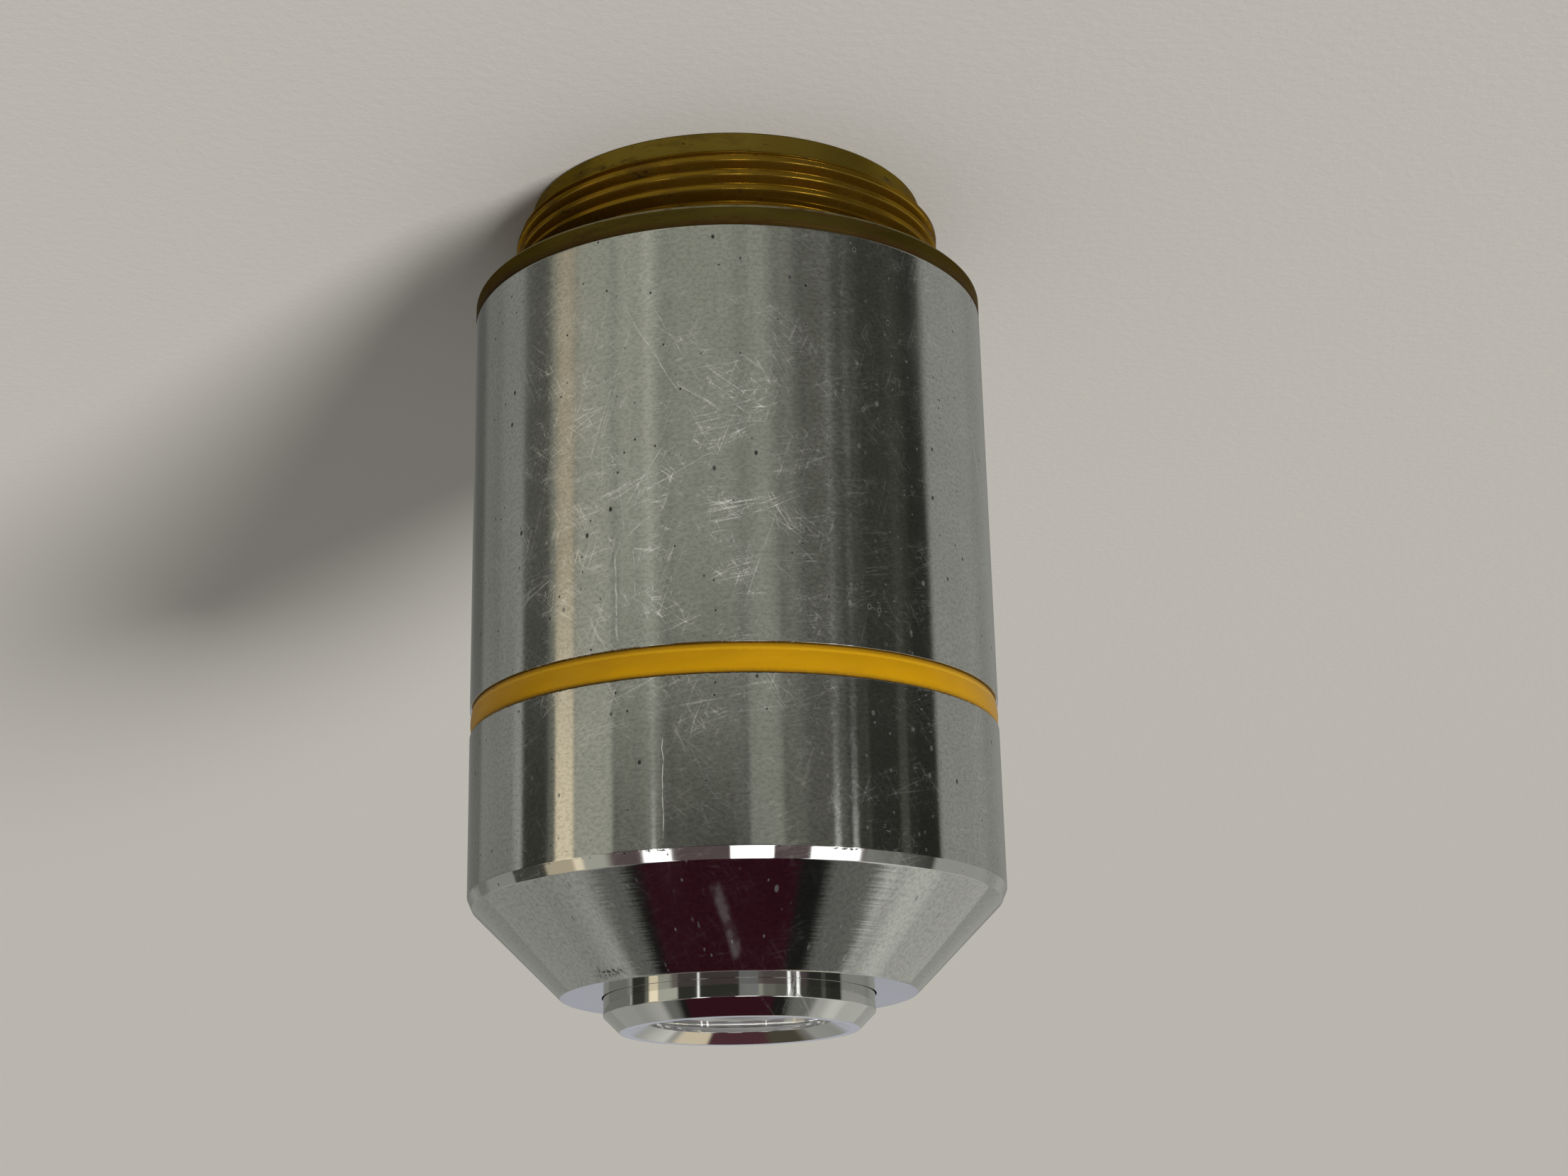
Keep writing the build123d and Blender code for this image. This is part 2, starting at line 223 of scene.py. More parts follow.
def rounded(corners):
    """Points of a closed profile with each corner (radius, height, round) rounded by an arc.

    A point on the flat beside each arc keeps the flat's shading flat.
    """
    points = []
    for index, (radius, height, fillet) in enumerate(corners):
        here = Vector((radius, height))
        before = Vector(corners[index - 1][:2]) - here
        after = Vector(corners[(index + 1) % len(corners)][:2]) - here
        half_angle = before.angle(after) / 2
        if half_angle > STRAIGHT:
            points.append(here)
            continue
        cut = min(fillet / math.tan(half_angle), EDGE_SHARE * before.length, EDGE_SHARE * after.length)
        fillet = cut * math.tan(half_angle)
        beside = BESIDE_SHARE * cut
        back, onward = before.normalized(), after.normalized()
        start, end = here + back * cut, here + onward * cut
        centre = here + (back + onward).normalized() * (fillet / math.sin(half_angle))
        turn = (start - centre).angle_signed(end - centre)
        points.append(start + back * beside)
        for step in range(ARC_STEPS + 1):
            points.append(centre + Matrix.Rotation(-turn * step / ARC_STEPS, 2) @ (start - centre))
        points.append(end + onward * beside)
    return points


def subdivided(points, low, high, inner_r, step):
    """The closed profile with its edges outside inner_r and between two heights cut into short steps."""
    fine = []
    for index, point in enumerate(points):
        following = points[(index + 1) % len(points)]
        fine.append(point)
        run = following - point
        inside = all(low <= p.y <= high and p.x > inner_r for p in (point, following))
        count = math.ceil(run.length / step) if inside else 1
        fine.extend(point + run * part / count for part in range(1, count))
    return fine


def lathe(name, points, segments):
    """A mesh turned round Z from a closed profile."""
    area = sum(a.x * b.y - b.x * a.y for a, b in zip(points, points[1:] + points[:1]))
    if area < 0:
        points = points[::-1]
    count = len(points)
    vertices, faces = [], []
    for step in range(segments):
        angle = 2 * math.pi * step / segments
        vertices.extend((p.x * math.sin(angle), -p.x * math.cos(angle), p.y) for p in points)
        this, following = step * count, (step + 1) % segments * count
        for j in range(count):
            k = (j + 1) % count
            faces.append((this + j, following + j, following + k, this + k))
    mesh = bpy.data.meshes.new(name)
    mesh.from_pydata(vertices, [], faces)
    mesh.shade_smooth()
    piece = bpy.data.objects.new(name, mesh)
    bpy.context.scene.collection.objects.link(piece)
    return piece


def seat(piece, node, material):
    """Gives a piece its material, hangs it under the root body and hides the CAD node that it stands for.
    """
    piece.data.materials.clear()
    piece.data.materials.append(material)
    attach(piece, "root")
    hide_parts(node)


# Node maths


def arithmetic(operation):
    """Two methods of Wire for an operation: with the wire first, and with it second."""
    return (
        lambda wire, other: wire.math(operation, wire, other),
        lambda wire, other: wire.math(operation, other, wire),
    )


class Wire:
    """A socket in a node tree. Arithmetic on it adds Math nodes, and node() adds any other."""

    def __init__(self, tree, socket=None):
        self.tree = tree
        self.socket = socket

    def node(self, kind, settings=None, inputs=None, output=0):
        made = self.tree.nodes.new(kind)
        for key, value in (settings or {}).items():
            setattr(made, key, value)
        for key, value in (inputs or {}).items():
            if isinstance(value, Wire):
                self.tree.links.new(value.socket, made.inputs[key])
            else:
                made.inputs[key].default_value = value
        return Wire(self.tree, made.outputs[output] if made.outputs else None)

    def output(self, name):
        """Another output of the node that this one belongs to."""
        return Wire(self.tree, self.socket.node.outputs[name])

    def math(self, operation, *values):
        return self.node("ShaderNodeMath", {"operation": operation}, dict(enumerate(values)))

    def through(self, operation):
        """This value put through a Math node with one input."""
        return self.math(operation, self)

    __add__, __radd__ = arithmetic("ADD")
    __sub__, __rsub__ = arithmetic("SUBTRACT")
    __mul__, __rmul__ = arithmetic("MULTIPLY")
    __truediv__, __rtruediv__ = arithmetic("DIVIDE")

    def __abs__(self):
        return self.through("ABSOLUTE")

    def ramp(self, start, end):
        """0 at start, 1 at end, with soft ends. start may be the larger one."""
        return self.node(
            "ShaderNodeMapRange",
            {"interpolation_type": "SMOOTHSTEP"},
            {"Value": self, "From Min": start, "From Max": end},
        )

    def mix(self, dark, light):
        """A colour between two, with this value as the factor."""
        return self.node(
            "ShaderNodeMix", {"data_type": "RGBA"}, {0: self, 6: opaque(dark), 7: opaque(light)}, output=2
        )

    def split(self):
        """The three parts of a vector."""
        made = self.node("ShaderNodeSeparateXYZ", inputs={0: self})
        return [made.output(axis) for axis in "XYZ"]

    def joined(self, x, y, z):
        return self.node("ShaderNodeCombineXYZ", inputs={0: x, 1: y, 2: z})

    def stretched(self, sizes, turn=0.0, shift=(0, 0, 0)):
        """A pattern vector whose unit is sizes long along axes that are turned about Z."""
        return self.node(
            "ShaderNodeMapping",
            {"vector_type": "TEXTURE"},
            {"Vector": self, "Location": shift, "Rotation": (0, 0, turn), "Scale": sizes},
        )

    def wavy(self, size, amount):
        """This vector shifted here and there by up to an amount, in waves of a size."""
        shifts = self.noise((size, size, size), 2.0).output("Color")
        return self.node(
            "ShaderNodeVectorMath",
            {"operation": "MULTIPLY_ADD"},
            {0: shifts, 1: (amount, amount, 0), 2: self},
        )

    def noise(self, sizes, detail=2.0, roughness=0.5, **placing):
        """Soft noise between 0 and 1 with cells of these sizes, placed as in stretched()."""
        vector = self.stretched(sizes, **placing)
        return self.node(
            "ShaderNodeTexNoise",
            inputs={"Vector": vector, "Scale": 1, "Detail": detail, "Roughness": roughness},
        )

    def specks(self, sizes, radius, share):
        """Soft round specks in a share of cells of these sizes, with a radius up to a share of a cell."""
        vector = self.stretched(sizes)
        cells = self.node("ShaderNodeTexVoronoi", inputs={"Vector": vector, "Scale": 1})
        chance, size, _ = cells.output("Color").split()
        disc = cells.ramp(radius, 0.4 * radius)
        return disc * chance.ramp(1 - share, 1 - 0.98 * share) * size.ramp(0.1, 0.6)


def opaque(value):
    """A colour with its alpha, for a socket that takes four numbers."""
    return value if isinstance(value, Wire) else (*value[:3], 1)


def shade(level, tint):
    """A colour at a level."""
    return [level * share for share in tint]


def at_most_one(value):
    return value.math("MINIMUM", value, 1.0)


class Finish:
    """A material for pieces turned round Z, with its place on the piece in millimetres."""

    def __init__(self, name):
        self.material = bpy.data.materials.new(name)
        self.material.use_nodes = True
        tree = self.material.node_tree
        tree.nodes.clear()
        self.wire = Wire(tree)
        coordinates = self.wire.node("ShaderNodeTexCoord", output="Object")
        self.place = self.wire.node(
            "ShaderNodeVectorMath", {"operation": "SCALE"}, {"Vector": coordinates, "Scale": PER_MM}
        )
        x, y, self.z = self.place.split()
        self.radius = (x * x + y * y).through("SQRT")
        # In radians, from the camera's side towards the left of the picture
        self.angle = self.wire.math("ARCTAN2", x, 0 - y)

    def wall(self, radius):
        """The surface rolled out flat: along the turn and along the axis, with its seam at the back."""
        return self.wire.joined(self.angle * radius, self.z, 0.0)

    def bump(self, height, depth_mm, strength=1.0):
        return self.wire.node(
            "ShaderNodeBump", inputs={"Strength": strength, "Distance": depth_mm * MM, "Height": height}
        )

    def finished(self, inputs):
        shader = self.wire.node("ShaderNodeBsdfPrincipled", inputs=inputs)
        self.wire.node("ShaderNodeOutputMaterial", inputs={"Surface": shader})
        return self.material


# Finishes

# Deep scratches on the barrel and the cone, the last eight on the sides and the back: from and to
# (bearing in degrees towards the right of the picture, height in mm), width in mm and strength
SCRATCHES = (
    ((-22.5, 9.3), (-10.5, 13.7), 0.07, 0.7),
    ((-17, 9.2), (-6, 13.3), 0.05, 0.5),
    ((-11.5, 13.2), (-4, 14.2), 0.06, 0.6),
    ((-18.5, 18), (-2, 16.2), 0.06, 0.6),
    ((-22.5, 18.6), (-14, 16), 0.06, 0.6),
    ((-23, 20), (-16.5, 19), 0.08, 0.8),
    ((-24.4, 20.4), (-24, 24.4), 0.13, 0.8),
    ((-20.5, 20.3), (-20, 22.6), 0.06, 0.6),
    ((-20.5, 20.4), (-16, 20.6), 0.08, 0.8),
    ((-23.7, 16.8), (-22.3, 19.6), 0.06, 0.6),
    ((-27.3, 15.6), (-27.5, 17.6), 0.05, 0.5),
    ((-14.6, 28.4), (-14.7, 33.0), 0.05, 0.9),
    ((-5.5, 34.4), (-0.5, 37.2), 0.8, 0.18),
    ((64, 12.4), (70, 15.8), 0.06, 0.6),
    ((98, 8.6), (92, 15), 0.06, 0.6),
    ((131, 27.2), (140, 31.6), 0.05, 0.6),
    ((150, 11.5), (166, 17.2), 0.08, 0.8),
    ((172, 21), (171, 24), 0.07, 0.8),
    ((-150, 18), (-138, 20.5), 0.07, 0.7),
    ((-112, 26.6), (-108, 32), 0.05, 0.6),
    ((-98, 9), (-104, 13.5), 0.06, 0.6),
)
# Turns of the fine scratches in degrees
BARREL_HAIRLINES = (-62, -38, 9, 24, 71)
NOSE_HAIRLINES = (-40, 75)
# The most rubbed part of the barrel: the angle of its middle, and where it starts and ends in mm
RUBBED_ANGLE = 0.3
RUBBED_START = (7, 13)
RUBBED_END = (32, 22)
# A scuff at the small end of the cone: its angle, and its height in mm from the chamfer's start
SCUFF_ANGLE = 0.72
SCUFF_HEIGHT = 4.12
# Colour of the dull gleam on the mount
BRASS_GLEAM = (0.5, 0.38, 0.15)


def deep_scratches(wall, radius):
    """The listed scratches on a wall rolled out at a radius in mm, wavering and broken here and there."""
    wavering = wall.wavy(0.9, 0.16)
    total = 0.0
    for (start, low), (end, high), width, strength in SCRATCHES:
        ends = [Vector((-radius * math.radians(bearing), z)) for bearing, z in ((start, low), (end, high))]
        run, middle = ends[1] - ends[0], (ends[0] + ends[1]) / 2
        turn = math.atan2(run.y, run.x)
        along, across, _ = wavering.stretched((run.length / 2, width / 2, 1), turn, (*middle, 0)).split()
        total = total + strength * abs(across).ramp(1.0, 0.2) * abs(along).ramp(1.0, 0.8)
    return total * (0.3 + 0.7 * wall.noise((0.7, 0.7, 1), 2.0).ramp(0.36, 0.56))


def hairlines(wall, turns, size, width):
    """Fine scratches at several turns of a rolled-out wall."""
    total = 0.0
    for index, turn in enumerate(turns):
        shift = (7.3 * index, 3.1 * index, 0)
        field = wall.noise((*size, 1), 1.0, turn=math.radians(turn), shift=shift)
        total = total + abs(field - 0.5).ramp(width, 0.0)
    return total


def satin_chrome(colours, sizes):
    """Plated barrel and cone with a bright chamfer, scratched, pitted and rubbed."""
    finish = Finish("satin_chrome")
    z = finish.z
    barrel_r = BARREL_R * PER_MM
    wall = finish.wall(barrel_r)
    cone_z = (SLEEVE_HIGH - sizes.cone_height) * PER_MM
    chamfer_end_z = cone_z + sizes.chamfer_height * PER_MM
    on_chamfer = z.ramp(cone_z - 0.02, cone_z + 0.01) * z.ramp(chamfer_end_z + 0.03, chamfer_end_z)
    on_cone = z.ramp(chamfer_end_z - 0.02, chamfer_end_z + 0.05)

    turning = finish.place.noise((60, 60, 0.14), 2.0, 0.6)
    grain = wall.noise((0.22, 0.15, 1), 3.0, 0.75)
    smudge = wall.noise((4, 6, 1), 5.0, 0.65)
    patch = wall.noise((2.4, 2.0, 1), 3.0, 0.6)
    ragged = wall.noise((0.22, 0.16, 1), 3.0, 0.7)

    rubbed = z.ramp(*RUBBED_START) * z.ramp(*RUBBED_END)
    rubbed = rubbed * abs(finish.angle - RUBBED_ANGLE).ramp(0.75, 0.25)
    fine = hairlines(wall.wavy(2.5, 0.2), BARREL_HAIRLINES, (6, 0.3), 0.012)
    fine = fine * patch.ramp(0.38, 0.62) * (0.1 + 0.55 * rubbed) * (1 - 0.7 * on_cone)
    ticks = wall.specks((1.1, 0.16, 1), 0.34, 0.2)
    ticks = ticks * (0.06 + 0.5 * rubbed) * patch.ramp(0.34, 0.58)
    scratches = at_most_one(deep_scratches(wall, barrel_r) + fine + ticks)

    pits = wall.specks((0.8, 1.1, 1), 0.15, 0.5)
    pits = pits + wall.specks((0.42, 0.5, 1), 0.17, 0.4)
    dashes = wall.specks((0.42, 0.1, 1), 0.3, 0.5)
    dashes = dashes * patch.ramp(0.5, 0.62) * (0.15 + 0.7 * z.ramp(16, 21))
    edge_grime = (abs(z - BAND_HIGH * PER_MM) - 0.10 * (ragged - 0.3)).ramp(0.03, 0.0)
    chips = (abs(z - cone_z - 0.05) - 0.4 * (ragged - 0.52)).ramp(0.02, 0.0) * smudge.ramp(0.52, 0.6)
    scuff = abs(finish.angle - SCUFF_ANGLE).ramp(0.16, 0.03)
    scuff = scuff * abs(z - cone_z - SCUFF_HEIGHT).ramp(0.22, 0.06) * ragged.ramp(0.46, 0.56)
    dirt = pits * (1 - 0.5 * on_cone) + 0.6 * dashes * (1 - on_cone) + edge_grime + chips + scuff
    dirt = at_most_one(dirt)

    plate = smudge.ramp(0.3, 0.75).mix(shade(0.92, colours.satin), colours.satin)
    plate = (0.5 * grain.ramp(0.6, 0.34)).mix(plate, shade(0.5, colours.satin))
    plate = on_chamfer.mix(plate, colours.polished)
    base = dirt.mix(scratches.mix(plate, colours.scratch), colours.grime)
    roughness = 0.08 + 0.045 * z.ramp(22, 8) + 0.045 * smudge.ramp(0.35, 0.75)
    roughness = roughness - 0.03 * (on_chamfer + on_cone) + 0.25 * scratches + 0.2 * dirt
    height = (0.15 + 3.2 * on_cone) * turning + (0.4 - 0.3 * on_cone) * grain
    height = height - 0.5 * scratches - 0.5 * dirt
    return finish.finished({
        "Base Color": base,
        "Metallic": 1 - 0.5 * scratches - 0.6 * dirt,
        "Roughness": roughness,
        "Anisotropic": 1.0,
        "Anisotropic Rotation": 0.25,
        "Normal": finish.bump(height * (1 - on_chamfer), 0.003, 0.5),
    })


def polished_chrome(colours):
    """Bright plating on the nose, with a few pits and nicks."""
    finish = Finish("polished_chrome")
    wall = finish.wall(BARREL_R * PER_MM / 2)
    turning = finish.place.noise((40, 40, 0.06), 2.0, 0.6)
    smudge = finish.place.noise((2.2, 2.2, 2.2), 3.0, 0.6)
    pits = finish.place.specks((0.8, 0.8, 0.8), 0.09, 0.14)
    nicks = 0.6 * hairlines(wall, NOSE_HAIRLINES, (3, 0.3), 0.012) * smudge.ramp(0.5, 0.62)
    base = pits.mix(nicks.mix(colours.polished, colours.scratch), colours.grime)
    return finish.finished({
        "Base Color": base,
        "Metallic": 1 - 0.6 * pits,
        "Roughness": 0.045 + 0.06 * smudge.ramp(0.35, 0.8) + 0.2 * nicks,
        "Normal": finish.bump(0.5 * turning - 0.5 * nicks - 0.5 * pits, 0.002, 0.5),
    })


def mount_brass(colours, sizes):
    """Stained brass: olive on the land, orange on the thread, dull on the shoulder, with a rubbed edge and
    painted highlight at its rear and painted shade by the sleeve.
    """
    finish = Finish("mount_brass")
    z, radius = finish.z, finish.radius
    crest_r = sizes.thread_r * PER_MM
    wall = finish.wall(crest_r)
    seat_z, sleeve_z, barrel_r = SEAT_Z * PER_MM, SLEEVE_LOW * PER_MM, BARREL_R * PER_MM
    land_z = sizes.land_length * PER_MM
    on_land = z.ramp(land_z + 0.04, land_z - 0.02)
    on_shoulder = z.ramp(seat_z - 0.03, seat_z) * radius.ramp(crest_r, crest_r + 0.1)
    cloud = wall.noise((3.4, 1.1, 1), 5.0, 0.65)
    blots = wall.noise((0.9, 0.35, 1), 4.0, 0.7).ramp(0.56, 0.70)
    turning = finish.place.noise((50, 50, 0.05), 2.0, 0.7)
    pits = wall.specks((0.7, 0.6, 1), 0.11, 0.2)
    crest = radius.ramp(crest_r - 0.10, crest_r - 0.015) * (1 - on_shoulder)
    crest_edge = crest * radius.ramp(crest_r - 0.004, crest_r - 0.02)
    skin = on_land.mix(colours.thread, colours.land)
    skin = (0.25 * crest).mix(skin, colours.land)
    skin = (crest_edge * (0.15 + 0.35 * cloud.ramp(0.35, 0.6))).mix(skin, colours.brass)
    tarnish = cloud.ramp(0.3, 0.65).mix(shade(0.7, colours.shoulder), colours.shoulder)
    skin = on_shoulder.mix(skin, tarnish)
    # A pale line along the shoulder's rear edge: rubbed brass and a painted highlight
    rim = abs(z - seat_z - 0.06).ramp(0.11, 0.05) * radius.ramp(barrel_r - 0.25, barrel_r - 0.1)
    skin = (0.8 * rim * cloud.ramp(0.3, 0.5)).mix(skin, colours.worn_edge_and_highlight)
    # Painted shade: the shoulder darkens towards the gap under the sleeve's edge
    seam = 0.8 * (z + 0.2 * (cloud - 0.5)).ramp(sleeve_z - 0.4, sleeve_z - 0.08) * on_shoulder
    dark = at_most_one(0.55 * cloud.ramp(0.5, 0.36) + 0.8 * blots * (1 - 0.6 * crest) + pits + seam)
    base = dark.mix(skin, colours.stain_and_shade)
    roughness = 0.27 - 0.06 * crest - 0.11 * crest_edge
    roughness = roughness + 0.14 * on_shoulder + 0.08 * on_land + 0.12 * dark
    return finish.finished({
        "Base Color": base,
        "Metallic": 0.85 - 0.35 * dark,
        "Roughness": roughness,
        "Anisotropic": 0.5,
        "Anisotropic Rotation": 0.25,
        "Specular IOR Level": 0.2,
        "Specular Tint": opaque(BRASS_GLEAM),
        "Normal": finish.bump(turning - 0.6 * pits + 0.4 * blots, 0.005, 0.6),
    })


def yellow_enamel(colours):
    """Glossy paint with dark worn edges and a painted highlight line along the rear one."""
    finish = Finish("yellow_enamel")
    wall = finish.wall(BAND_R * PER_MM)
    middle = (BAND_LOW + BAND_HIGH) / 2 * PER_MM
    half = (BAND_HIGH - BAND_LOW) / 2 * PER_MM
    ragged = wall.noise((0.22, 0.22, 1), 3.0, 0.7)
    across = (finish.z - middle) / half
    uneven = 0.2 * (ragged - 0.5)
    edge = (across + uneven).ramp(0.6, 1.12) + 0.6 * (uneven - across).ramp(0.64, 1.05)
    # Painted highlight: a paler line just inside the rear edge of the band
    line = abs(across + uneven + 0.6).ramp(0.14, 0.03)
    cloud = wall.noise((4, 1.2, 1), 3.0, 0.6)
    specks = wall.specks((0.9, 0.5, 1), 0.10, 0.12)
    paint = cloud.ramp(0.3, 0.75).mix(shade(0.86, colours.enamel), colours.enamel)
    paint = (0.45 * line).mix(paint, colours.enamel_highlight)
    base = specks.mix(edge.mix(paint, colours.enamel_edge), colours.grime)
    return finish.finished({
        "Base Color": base,
        "Roughness": 0.24 + 0.12 * cloud + 0.3 * edge,
        "Coat Weight": 0.06 * (1 - edge),
        "Coat Roughness": 0.12,
        "Specular IOR Level": 0.1,
        "Normal": finish.bump(cloud + 0.4 * ragged, 0.012, 0.5),
    })


def turned_finish(name):
    """A material for the pieces inside, with a pattern of wear and the bumps of turning."""
    finish = Finish(name)
    turning = finish.place.noise((4, 4, 0.04), 2.0, 0.7)
    return finish, finish.place.noise((2, 2, 2), 3.0), finish.bump(turning, 0.005, 0.5)


def turned_metal(name, metal, roughness):
    """Plain turned metal."""
    finish, cloud, bumps = turned_finish(name)
    pits = finish.place.specks((0.8, 0.8, 0.8), 0.1, 0.1)
    base = pits.mix(cloud.ramp(0.3, 0.7).mix(shade(0.8, metal), metal), shade(0.3, metal))
    return finish.finished({
        "Base Color": base,
        "Metallic": 1.0,
        "Roughness": roughness + 0.12 * cloud,
        "Normal": bumps,
    })


def blackened_brass(colours):
    """Blackened pieces of the lens train, with the black rubbed off here and there."""
    finish, cloud, bumps = turned_finish("blackened_brass")
    rubbed = finish.place.noise((0.5, 0.5, 0.5), 3.0, 0.7).ramp(0.66, 0.74)
    base = rubbed.mix(colours.blackened, colours.stain_and_shade)
    return finish.finished({
        "Base Color": base,
        "Metallic": 0.5 * rubbed,
        "Roughness": 0.5 + 0.2 * cloud,
        "Normal": bumps,
    })


def lens_glass(name, colours, index, haze=0.0):
    """Clear glass with a few specks of dust on it. A haze shows at a low angle only."""
    finish = Finish(name)
    dust = finish.place.specks((0.6, 0.6, 0.6), 0.05, 0.08)
    return finish.finished({
        "Base Color": dust.mix(colours.glass, shade(0.6, colours.glass)),
        "Roughness": 0.01 + 0.2 * dust,
        "IOR": index,
        "Transmission Weight": 1.0,
        "Coat Weight": 1.0,
        "Coat IOR": 2.4,
        "Coat Roughness": 0.02,
        "Sheen Weight": haze,
        "Sheen Roughness": 0.3,
    })


# Thread


# The flank leaves the crest and reaches the root at these shares of half a pitch
FLANK = (0.24, 0.95)


def thread_tree(material):
    """Cuts a right-handed thread into a dense turned blank.

    A point outside the helix's flank is drawn in to it.
    """
    tree = bpy.data.node_groups.new("cut_thread", "GeometryNodeTree")
    tree.interface.new_socket("Geometry", in_out="INPUT", socket_type="NodeSocketGeometry")
    for name in ("Pitch", "Depth", "Crest Radius", "Crest Height", "Top"):
        tree.interface.new_socket(name, in_out="INPUT", socket_type="NodeSocketFloat")
    tree.interface.new_socket("Geometry", in_out="OUTPUT", socket_type="NodeSocketGeometry")
    wire = Wire(tree)
    entry = tree.nodes.new("NodeGroupInput")
    blank, pitch, depth, crest_r, crest_z, top = (Wire(tree, socket) for socket in entry.outputs[:6])
    x, y, z = wire.node("GeometryNodeInputPosition").split()
    radius = (x * x + y * y).through("SQRT")
    turn = wire.math("ARCTAN2", x, 0 - y) / (2 * math.pi)
    along = (z - crest_z) / pitch - turn + 0.5
    from_crest = 2 * abs(along.through("FRACT") - 0.5)
    groove_r = crest_r - depth * from_crest.ramp(*FLANK)
    share = wire.math("MINIMUM", radius, groove_r) / radius
    cut = wire.node(
        "GeometryNodeSetPosition",
        inputs={
            "Geometry": blank,
            "Selection": wire.math("LESS_THAN", z, top),
            "Position": wire.joined(x * share, y * share, z),
        },
    )
    whole = wire.node("GeometryNodeRealizeInstances", inputs={"Geometry": cut})
    dressed = wire.node("GeometryNodeSetMaterial", inputs={"Geometry": whole, "Material": material})
    wire.node("NodeGroupOutput", inputs={"Geometry": dressed})
    return tree


def plain_mesh(piece, tree, values):
    """Runs a node tree on a piece with its inputs by name, and keeps the result as the piece's own mesh."""
    modifier = piece.modifiers.new(tree.name, "NODES")
    modifier.node_group = tree
    for item in tree.interface.items_tree:
        if item.in_out == "INPUT" and item.name in values:
            modifier[item.identifier] = values[item.name]
    graph = bpy.context.evaluated_depsgraph_get()
    made = bpy.data.meshes.new_from_object(piece.evaluated_get(graph))
    piece.modifiers.remove(modifier)
    piece.data = made
    piece.data.shade_smooth()


# Operators


class OBJECTIVE_OT_make_mount(Operator):
    """Turns the brass mount with its thread, relief, shoulder and skirt"""

    bl_idname = "objective.make_mount"
    bl_label = "Make Mount"

    def execute(self, context):
        s = context.scene.objective_sizes
        land_r = s.thread_r - s.land_depth
        relief_r = s.thread_r - s.relief_depth
        seat_r = s.thread_r + s.seat_gap
        relief_z = SEAT_Z - s.relief_length
        bore_r = relief_r - s.mount_wall
        skirt_r = BARREL_R - s.barrel_wall - s.sleeve_fit
        gland_r = skirt_r - s.skirt_wall
        tube_seat_r = gland_r - s.collar_width
        fine, broad = s.fine_round, s.edge_round
        corners = [
            (bore_r, MOUNT_LOW, broad),
            (land_r - s.land_bevel, MOUNT_LOW, fine),
            (land_r, MOUNT_LOW + s.land_bevel, fine),
            (land_r, s.land_length, fine),
            (s.thread_r, s.land_length + s.thread_lead, fine),
            (s.thread_r, relief_z, fine),
            (relief_r, relief_z + s.relief_run_out, broad),
            (relief_r, SEAT_Z + s.seat_undercut, fine),
            (seat_r, SEAT_Z + s.seat_undercut, fine),
            (seat_r, SEAT_Z, fine),
            (BARREL_R - s.shoulder_bevel, SEAT_Z, broad),
            (BARREL_R, SEAT_Z + s.shoulder_bevel, broad),
            (BARREL_R, SLEEVE_LOW - s.shoulder_bevel, broad),
            (BARREL_R - s.shoulder_bevel, SLEEVE_LOW, fine),
            (skirt_r, SLEEVE_LOW, fine),
            (skirt_r, MOUNT_HIGH, fine),
            (gland_r, MOUNT_HIGH, fine),
            (gland_r, SLEEVE_LOW + s.ledge_height, fine),
            (tube_seat_r, SLEEVE_LOW + s.ledge_height, fine),
            (tube_seat_r, SLEEVE_LOW + s.tube_step, fine),
            (bore_r, SLEEVE_LOW + s.tube_step, fine),
        ]
        cut_top = SEAT_Z - s.relief_length / 2
        profile = subdivided(rounded(corners), s.land_length, cut_top, bore_r, s.thread_step)
        piece = lathe("turned_mount", profile, s.segments)
        material = mount_brass(context.scene.objective_finish, s)
        values = {
            "Pitch": s.thread_pitch,
            "Depth": s.thread_depth,
            "Crest Radius": s.thread_r,
            "Crest Height": s.first_crest,
            "Top": cut_top,
        }
        plain_mesh(piece, thread_tree(material), values)
        seat(piece, "mount_body", material)
        return {"FINISHED"}


class OBJECTIVE_OT_make_sleeve(Operator):
    """Turns the plated sleeve with its groove, chamfer, cone and front ring"""

    bl_idname = "objective.make_sleeve"
    bl_label = "Make Sleeve"

    def execute(self, context):
        s = context.scene.objective_sizes
        bore_r = BARREL_R - s.barrel_wall
        groove_r = BARREL_R - s.groove_depth
        cone_z = SLEEVE_HIGH - s.cone_height
        cone_start_r, cone_start_z = BARREL_R - s.chamfer_inset, cone_z + s.chamfer_height
        cone_end_z = SLEEVE_HIGH - s.cone_rim
        slope = (cone_start_r - s.cone_front_r) / (cone_end_z - cone_start_z)
        inner_cone_z = cone_start_z + (cone_start_r - s.cone_wall - bore_r) / slope
        front_wall_z = SLEEVE_HIGH - s.front_wall
        mouth_r = s.nose_r + s.nose_fit
        fine, broad = s.fine_round, s.edge_round
        soft, rim = 2 * broad, 3 * broad
        corners = [
            (bore_r, SLEEVE_LOW, fine),
            (BARREL_R, SLEEVE_LOW, soft),
            (BARREL_R, BAND_LOW, fine),
            (groove_r, BAND_LOW, fine),
            (groove_r, BAND_HIGH, fine),
            (BARREL_R, BAND_HIGH, fine),
            (BARREL_R, cone_z, soft),
            (cone_start_r, cone_start_z, soft),
            (s.cone_front_r, cone_end_z, broad),
            (s.cone_front_r - s.cone_rim, SLEEVE_HIGH, rim),
            (mouth_r, SLEEVE_HIGH, fine),
            (mouth_r, front_wall_z, fine),
            (bore_r - slope * (front_wall_z - inner_cone_z), front_wall_z, fine),
            (bore_r, inner_cone_z, broad),
        ]
        piece = lathe("plated_sleeve", rounded(corners), s.segments)
        seat(piece, "outer_sleeve", satin_chrome(context.scene.objective_finish, s))
        return {"FINISHED"}


